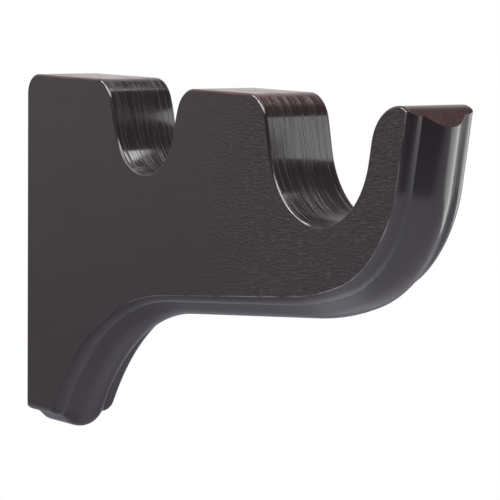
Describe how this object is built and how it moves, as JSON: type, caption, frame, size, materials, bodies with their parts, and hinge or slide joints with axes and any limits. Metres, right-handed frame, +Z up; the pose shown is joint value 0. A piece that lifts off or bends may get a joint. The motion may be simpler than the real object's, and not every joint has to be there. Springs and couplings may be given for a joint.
{
  "type": "double curtain pole bracket",
  "caption": "Wooden wall bracket with a small cradle near the wall and a larger one in front of it for curtain poles, with a bead and nose moulding along its S-shaped lower edge.",
  "frame": {"origin": "on the wall face, halfway up the leg and halfway across the board's thickness", "axes": "+X out from the wall along the arm, +Y along the poles (across the board), +Z up"},
  "size_m": [0.2306, 0.0244, 0.124],
  "materials": {
    "stained_wood": "dark espresso stain under semi-gloss lacquer"
  },
  "bodies": {
    "root": {"bracket": "stained_wood"}
  },
  "joints": []
}
